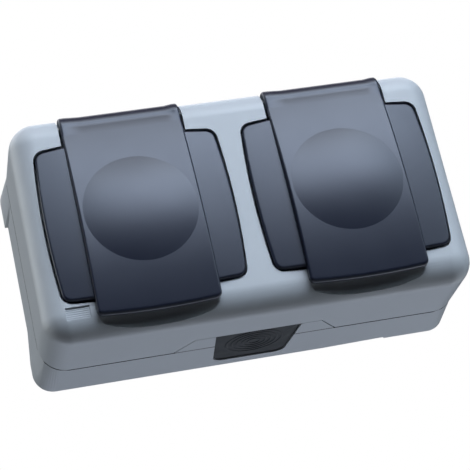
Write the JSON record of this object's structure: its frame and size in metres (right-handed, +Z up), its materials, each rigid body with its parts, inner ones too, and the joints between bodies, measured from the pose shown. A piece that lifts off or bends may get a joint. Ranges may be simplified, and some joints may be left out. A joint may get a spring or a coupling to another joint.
{
  "type": "outdoor weatherproof socket",
  "caption": "Surface-mounted weatherproof wall socket: light moulded box and cover, dark spring-closed hinged lids over round earthed plug wells, rubber cable entry underneath.",
  "frame": {"origin": "on the wall plane, level with the centres of the plug wells and midway between them", "axes": "+X along the row of sockets to the viewer's right, +Y into the wall, +Z up"},
  "size_m": [0.1494, 0.0589, 0.0793],
  "materials": {
    "housing_plastic": "fine satin moulding, light blue grey",
    "lid_plastic": "satin anthracite moulding",
    "well_plastic": "satin anthracite moulding",
    "carrier_plastic": "matt thermoset",
    "seal_rubber": "matt black elastomer",
    "membrane_rubber": "matt dark elastomer",
    "pin_steel": "drawn stainless pin",
    "spring_steel": "stainless spring steel",
    "screw_steel": "zinc-plated steel",
    "contact_brass": "bright stamped brass"
  },
  "bodies": {
    "housing": {"back_box": "housing_plastic", "front_cover": "housing_plastic", "cover_seal": "seal_rubber", "cover_screws": "screw_steel", "cable_membrane": "membrane_rubber", "hinge_pin_left": "pin_steel", "hinge_pin_right": "pin_steel", "socket_face_left": "well_plastic", "socket_face_right": "well_plastic", "face_seal_left": "seal_rubber", "face_seal_right": "seal_rubber", "contact_carrier_left": "carrier_plastic", "contact_carrier_right": "carrier_plastic", "live_contact_left": "contact_brass", "live_contact_right": "contact_brass", "neutral_contact_left": "contact_brass", "neutral_contact_right": "contact_brass", "earth_strap_left": "spring_steel", "earth_strap_right": "spring_steel", "terminal_screws_left": "screw_steel", "terminal_screws_right": "screw_steel", "centre_screw_left": "screw_steel", "centre_screw_right": "screw_steel", "carrier_screws_left": "screw_steel", "carrier_screws_right": "screw_steel"},
    "left_flap": {"lid_left": "lid_plastic", "lid_seal_left": "seal_rubber", "lid_spring_left": "spring_steel"},
    "right_flap": {"lid_right": "lid_plastic", "lid_seal_right": "seal_rubber", "lid_spring_right": "spring_steel"}
  },
  "joints": [
    {"name": "left_hinge", "type": "hinge", "parent": "housing", "child": "left_flap", "pos_m": [-0.0355, -0.0495, 0.0345], "axis": [-1, 0, 0], "range_deg": [0, 105], "stiffness_Nm_per_rad": 0.01, "springref_deg": -68.75},
    {"name": "right_hinge", "type": "hinge", "parent": "housing", "child": "right_flap", "pos_m": [0.0355, -0.0495, 0.0345], "axis": [-1, 0, 0], "range_deg": [0, 105], "stiffness_Nm_per_rad": 0.01, "springref_deg": -68.75}
  ]
}
